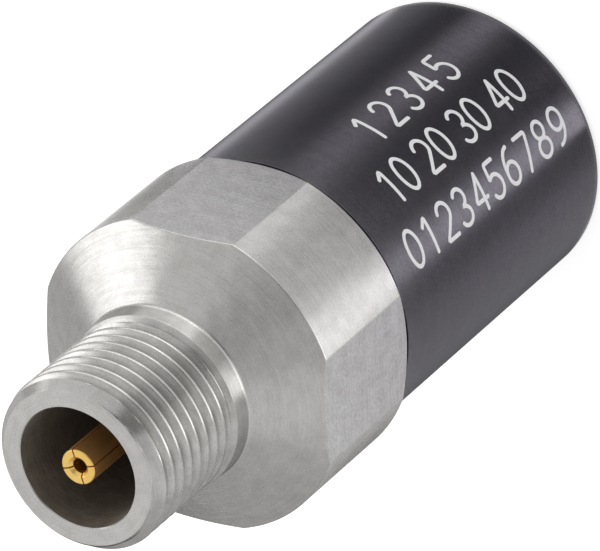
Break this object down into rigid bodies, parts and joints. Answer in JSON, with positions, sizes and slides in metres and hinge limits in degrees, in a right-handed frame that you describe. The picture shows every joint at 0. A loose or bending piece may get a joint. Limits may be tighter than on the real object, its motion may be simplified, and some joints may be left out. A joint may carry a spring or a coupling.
{
  "type": "coaxial calibration load",
  "caption": "Round coaxial calibration load: threaded socket connector, steel head with wrench flats and a plain dark sleeve over a tapered resistor chamber.",
  "frame": {"origin": "centre of the flat rear end that the load stands on", "axes": "+Z along the coaxial axis, from the rear end to the connector's front face; +X square to one wrench flat"},
  "size_m": [0.016, 0.016, 0.038],
  "materials": {
    "stainless_steel": "fine turned, satin",
    "contact_gold": "gold plated, polished",
    "gold_plated_brass": "gold plated, satin",
    "bare_brass": "turned",
    "bead_plastic": "machined, matt",
    "resistor_ceramic": "filmed ceramic, matt",
    "spring_steel": "blued, satin",
    "bare_aluminium": "sheet, satin",
    "black_anodised": "black anodised, satin",
    "seal_rubber": "matt",
    "pad_rubber": "matt"
  },
  "bodies": {
    "root": {"connector_body": "stainless_steel", "centre_contact": "contact_gold", "bead_ring": "gold_plated_brass", "support_bead": "bead_plastic", "rear_conductor": "gold_plated_brass", "resistor_rod": "resistor_ceramic", "rear_cap": "gold_plated_brass", "taper_horn": "gold_plated_brass", "ground_collet": "gold_plated_brass", "thrust_ring": "stainless_steel", "disc_spring": "spring_steel", "clamp_nut": "bare_brass", "jam_nut": "bare_brass", "push_pad": "pad_rubber", "pad_screw": "stainless_steel", "dust_disc": "bare_aluminium", "body_seal": "seal_rubber", "sleeve": "black_anodised", "end_plug": "black_anodised", "plug_seal": "seal_rubber"}
  },
  "joints": []
}
